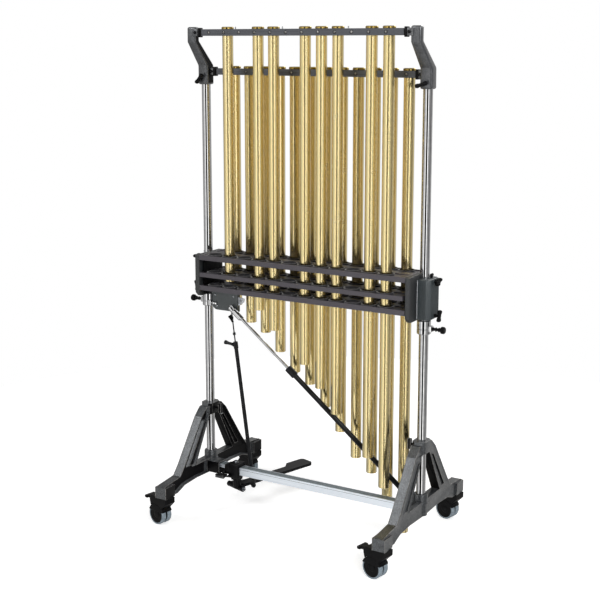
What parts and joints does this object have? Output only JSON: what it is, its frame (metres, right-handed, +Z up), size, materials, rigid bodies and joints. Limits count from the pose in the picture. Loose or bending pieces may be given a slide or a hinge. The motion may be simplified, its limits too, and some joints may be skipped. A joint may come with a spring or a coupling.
{
  "type": "tubular bells",
  "caption": "Tubular bells: two rows of hanging brass tubes on a rolling stand, with a foot-operated damper box and a diagonal brace.",
  "frame": {"origin": "on the floor, in the middle of the bounding box", "axes": "+Z up; +X toward the longest tube; +Y toward the player's side, where the pedal is"},
  "size_m": [1.046, 0.6748, 1.775],
  "materials": {
    "tube_brass": "satin lacquered gold",
    "chrome": "polished",
    "clamp_chrome": "polished, with black knobs",
    "brace_chrome": "polished",
    "cast_grey": "hammertone",
    "dark_bar": "satin dark grey",
    "housing_grey": "fine textured dark grey",
    "black_metal": "satin black",
    "aluminium": "anodised",
    "caster_plastic": "moulded black",
    "caster_tread": "grey tread on black discs"
  },
  "bodies": {
    "base": {"foot_left": "cast_grey", "foot_right": "cast_grey", "crossbar": "aluminium", "pedal_block": "black_metal"},
    "frame": {"post_left": "chrome", "post_right": "chrome", "top_arm_left": "cast_grey", "top_arm_right": "cast_grey", "upper_rail": "dark_bar", "lower_rail": "dark_bar", "damper_end_left": "housing_grey", "damper_end_right": "housing_grey", "damper_bottom_tray": "dark_bar", "damper_top_tray": "dark_bar", "damper_bracket": "housing_grey", "post_clamp_left": "clamp_chrome", "post_clamp_right": "clamp_chrome"},
    "damper_middle_tray": {"damper_middle_tray": "dark_bar"},
    "damper_crank": {"damper_crank": "black_metal"},
    "pedal": {"pedal": "black_metal"},
    "pull_rod_clevis": {"pull_rod_clevis": "black_metal"},
    "pull_rod_tube": {"pull_rod_tube": "black_metal"},
    "pull_rod_upper": {"pull_rod_upper": "black_metal"},
    "brace_tube": {"brace_tube": "black_metal"},
    "brace_rod": {"brace_rod": "brace_chrome"},
    "tube_c5": {"tube_c5": "tube_brass"},
    "tube_cs5": {"tube_cs5": "tube_brass"},
    "tube_d5": {"tube_d5": "tube_brass"},
    "tube_ds5": {"tube_ds5": "tube_brass"},
    "tube_e5": {"tube_e5": "tube_brass"},
    "tube_f5": {"tube_f5": "tube_brass"},
    "tube_fs5": {"tube_fs5": "tube_brass"},
    "tube_g5": {"tube_g5": "tube_brass"},
    "tube_gs5": {"tube_gs5": "tube_brass"},
    "tube_a5": {"tube_a5": "tube_brass"},
    "tube_as5": {"tube_as5": "tube_brass"},
    "tube_b5": {"tube_b5": "tube_brass"},
    "tube_c6": {"tube_c6": "tube_brass"},
    "tube_cs6": {"tube_cs6": "tube_brass"},
    "tube_d6": {"tube_d6": "tube_brass"},
    "tube_ds6": {"tube_ds6": "tube_brass"},
    "tube_e6": {"tube_e6": "tube_brass"},
    "tube_f6": {"tube_f6": "tube_brass"},
    "tube_fs6": {"tube_fs6": "tube_brass"},
    "tube_g6": {"tube_g6": "tube_brass"},
    "caster_left_front": {"caster_left_front": "caster_plastic"},
    "caster_left_front_wheels": {"caster_left_front_wheels": "caster_tread"},
    "caster_left_front_brake": {"caster_left_front_brake": "caster_plastic"},
    "caster_left_back": {"caster_left_back": "caster_plastic"},
    "caster_left_back_wheels": {"caster_left_back_wheels": "caster_tread"},
    "caster_left_back_brake": {"caster_left_back_brake": "caster_plastic"},
    "caster_right_front": {"caster_right_front": "caster_plastic"},
    "caster_right_front_wheels": {"caster_right_front_wheels": "caster_tread"},
    "caster_right_front_brake": {"caster_right_front_brake": "caster_plastic"},
    "caster_right_back": {"caster_right_back": "caster_plastic"},
    "caster_right_back_wheels": {"caster_right_back_wheels": "caster_tread"},
    "caster_right_back_brake": {"caster_right_back_brake": "caster_plastic"}
  },
  "joints": [
    {"name": "frame_height", "type": "slide", "parent": "base", "child": "frame", "axis": [0, 0, 1], "range_m": [0, 0.1]},
    {"name": "pedal_press", "type": "hinge", "parent": "base", "child": "pedal", "pos_m": [-0.26804, -0.04804, 0.08], "axis": [-0.9558, 0.294, 0], "range_deg": [0, 8.9], "stiffness_Nm_per_rad": 12, "springref_deg": -45.84},
    {"name": "clevis_swing", "type": "hinge", "parent": "pedal", "child": "pull_rod_clevis", "pos_m": [-0.25503, 0.00445, 0.08], "axis": [-0.9558, 0.294, 0], "range_deg": [-9, 0]},
    {"name": "rod_lean", "type": "hinge", "parent": "pull_rod_clevis", "child": "pull_rod_tube", "pos_m": [-0.25503, -0.00185, 0.1], "axis": [0, 1, 0], "range_deg": [0, 1]},
    {"name": "rod_extend", "type": "slide", "parent": "pull_rod_tube", "child": "pull_rod_upper", "axis": [-0.1268, -0.0127, 0.9918], "range_m": [0, 0.1]},
    {"name": "crank_turn", "type": "hinge", "parent": "frame", "child": "damper_crank", "pos_m": [-0.37504, -0.01924, 0.757], "axis": [0, 1, 0], "range_deg": [0, 13.45]},
    {"name": "damper_slide", "type": "slide", "parent": "frame", "child": "damper_middle_tray", "axis": [1, 0, 0], "range_m": [0, 0.0075]},
    {"name": "brace_foot_turn", "type": "hinge", "parent": "base", "child": "brace_tube", "pos_m": [0.40696, -0.04554, 0.191], "axis": [0, 1, 0], "range_deg": [0, 5]},
    {"name": "brace_head_turn", "type": "hinge", "parent": "frame", "child": "brace_rod", "pos_m": [-0.31304, -0.04554, 0.766], "axis": [0, 1, 0], "range_deg": [0, 5]},
    {"name": "tube_c5_swing", "type": "hinge", "parent": "frame", "child": "tube_c5", "pos_m": [0.36691, 0.00446, 1.617], "axis": [1, 0, 0], "range_deg": [-0.2, 0.3]},
    {"name": "tube_cs5_swing", "type": "hinge", "parent": "frame", "child": "tube_cs5", "pos_m": [0.33561, -0.08554, 1.753], "axis": [1, 0, 0], "range_deg": [-0.2, 0.3]},
    {"name": "tube_d5_swing", "type": "hinge", "parent": "frame", "child": "tube_d5", "pos_m": [0.30431, 0.00446, 1.617], "axis": [1, 0, 0], "range_deg": [-0.3, 0.3]},
    {"name": "tube_ds5_swing", "type": "hinge", "parent": "frame", "child": "tube_ds5", "pos_m": [0.27301, -0.08554, 1.753], "axis": [1, 0, 0], "range_deg": [-0.3, 0.3]},
    {"name": "tube_e5_swing", "type": "hinge", "parent": "frame", "child": "tube_e5", "pos_m": [0.24171, 0.00446, 1.617], "axis": [1, 0, 0], "range_deg": [-0.3, 0.3]},
    {"name": "tube_f5_swing", "type": "hinge", "parent": "frame", "child": "tube_f5", "pos_m": [0.17911, 0.00446, 1.617], "axis": [1, 0, 0], "range_deg": [-0.3, 0.3]},
    {"name": "tube_fs5_swing", "type": "hinge", "parent": "frame", "child": "tube_fs5", "pos_m": [0.14781, -0.08554, 1.753], "axis": [1, 0, 0], "range_deg": [-0.3, 0.3]},
    {"name": "tube_g5_swing", "type": "hinge", "parent": "frame", "child": "tube_g5", "pos_m": [0.11651, 0.00446, 1.617], "axis": [1, 0, 0], "range_deg": [-0.3, 0.3]},
    {"name": "tube_gs5_swing", "type": "hinge", "parent": "frame", "child": "tube_gs5", "pos_m": [0.08521, -0.08554, 1.753], "axis": [1, 0, 0], "range_deg": [-0.3, 0.3]},
    {"name": "tube_a5_swing", "type": "hinge", "parent": "frame", "child": "tube_a5", "pos_m": [0.05391, 0.00446, 1.617], "axis": [1, 0, 0], "range_deg": [-0.3, 0.3]},
    {"name": "tube_as5_swing", "type": "hinge", "parent": "frame", "child": "tube_as5", "pos_m": [0.02261, -0.08554, 1.753], "axis": [1, 0, 0], "range_deg": [-0.3, 0.3]},
    {"name": "tube_b5_swing", "type": "hinge", "parent": "frame", "child": "tube_b5", "pos_m": [-0.00869, 0.00446, 1.617], "axis": [1, 0, 0], "range_deg": [-0.3, 0.3]},
    {"name": "tube_c6_swing", "type": "hinge", "parent": "frame", "child": "tube_c6", "pos_m": [-0.07129, 0.00446, 1.617], "axis": [1, 0, 0], "range_deg": [-0.3, 0.3]},
    {"name": "tube_cs6_swing", "type": "hinge", "parent": "frame", "child": "tube_cs6", "pos_m": [-0.10259, -0.08554, 1.753], "axis": [1, 0, 0], "range_deg": [-0.3, 0.3]},
    {"name": "tube_d6_swing", "type": "hinge", "parent": "frame", "child": "tube_d6", "pos_m": [-0.13389, 0.00446, 1.617], "axis": [1, 0, 0], "range_deg": [-0.3, 0.3]},
    {"name": "tube_ds6_swing", "type": "hinge", "parent": "frame", "child": "tube_ds6", "pos_m": [-0.16519, -0.08554, 1.753], "axis": [1, 0, 0], "range_deg": [-0.3, 0.3]},
    {"name": "tube_e6_swing", "type": "hinge", "parent": "frame", "child": "tube_e6", "pos_m": [-0.19649, 0.00446, 1.617], "axis": [1, 0, 0], "range_deg": [-0.3, 0.3]},
    {"name": "tube_f6_swing", "type": "hinge", "parent": "frame", "child": "tube_f6", "pos_m": [-0.25909, 0.00446, 1.617], "axis": [1, 0, 0], "range_deg": [-0.3, 0.3]},
    {"name": "tube_fs6_swing", "type": "hinge", "parent": "frame", "child": "tube_fs6", "pos_m": [-0.29039, -0.08554, 1.753], "axis": [1, 0, 0], "range_deg": [-0.3, 0.3]},
    {"name": "tube_g6_swing", "type": "hinge", "parent": "frame", "child": "tube_g6", "pos_m": [-0.32169, 0.00446, 1.617], "axis": [1, 0, 0], "range_deg": [-0.3, 0.3]},
    {"name": "caster_left_front_swivel", "type": "hinge", "parent": "base", "child": "caster_left_front", "pos_m": [-0.43104, -0.30954, 0.106], "axis": [0, 0, 1], "continuous": true},
    {"name": "caster_left_front_roll", "type": "hinge", "parent": "caster_left_front", "child": "caster_left_front_wheels", "pos_m": [-0.45843, -0.30372, 0.0375], "axis": [0.2079, 0.9781, 0], "continuous": true},
    {"name": "caster_left_front_brake_press", "type": "hinge", "parent": "caster_left_front", "child": "caster_left_front_brake", "pos_m": [-0.49002, -0.297, 0.0867], "axis": [-0.2079, -0.9781, 0], "range_deg": [0, 12]},
    {"name": "caster_left_back_swivel", "type": "hinge", "parent": "base", "child": "caster_left_back", "pos_m": [-0.43104, 0.27046, 0.106], "axis": [0, 0, 1], "continuous": true},
    {"name": "caster_left_back_roll", "type": "hinge", "parent": "caster_left_back", "child": "caster_left_back_wheels", "pos_m": [-0.45843, 0.27628, 0.0375], "axis": [0.2079, 0.9781, 0], "continuous": true},
    {"name": "caster_left_back_brake_press", "type": "hinge", "parent": "caster_left_back", "child": "caster_left_back_brake", "pos_m": [-0.49002, 0.283, 0.0867], "axis": [-0.2079, -0.9781, 0], "range_deg": [0, 12]},
    {"name": "caster_right_front_swivel", "type": "hinge", "parent": "base", "child": "caster_right_front", "pos_m": [0.44496, -0.30954, 0.106], "axis": [0, 0, 1], "continuous": true},
    {"name": "caster_right_front_roll", "type": "hinge", "parent": "caster_right_front", "child": "caster_right_front_wheels", "pos_m": [0.41757, -0.30372, 0.0375], "axis": [0.2079, 0.9781, 0], "continuous": true},
    {"name": "caster_right_front_brake_press", "type": "hinge", "parent": "caster_right_front", "child": "caster_right_front_brake", "pos_m": [0.38598, -0.297, 0.0867], "axis": [-0.2079, -0.9781, 0], "range_deg": [0, 12]},
    {"name": "caster_right_back_swivel", "type": "hinge", "parent": "base", "child": "caster_right_back", "pos_m": [0.44496, 0.27046, 0.106], "axis": [0, 0, 1], "continuous": true},
    {"name": "caster_right_back_roll", "type": "hinge", "parent": "caster_right_back", "child": "caster_right_back_wheels", "pos_m": [0.41757, 0.27628, 0.0375], "axis": [0.2079, 0.9781, 0], "continuous": true},
    {"name": "caster_right_back_brake_press", "type": "hinge", "parent": "caster_right_back", "child": "caster_right_back_brake", "pos_m": [0.38598, 0.283, 0.0867], "axis": [-0.2079, -0.9781, 0], "range_deg": [0, 12]}
  ],
  "couplings": [
    {"joint": "clevis_swing", "follows": "pedal_press", "ratio": -1},
    {"joint": "crank_turn", "follows": "pedal_press", "ratio": 1.5},
    {"joint": "damper_slide", "follows": "pedal_press", "m_per_rad": 0.04757},
    {"joint": "rod_lean", "follows": "frame_height", "rad_per_m": 0.16654},
    {"joint": "rod_extend", "follows": "frame_height", "ratio": 0.99298},
    {"joint": "brace_foot_turn", "follows": "frame_height", "rad_per_m": 0.8016},
    {"joint": "brace_head_turn", "follows": "frame_height", "rad_per_m": 0.8016}
  ]
}
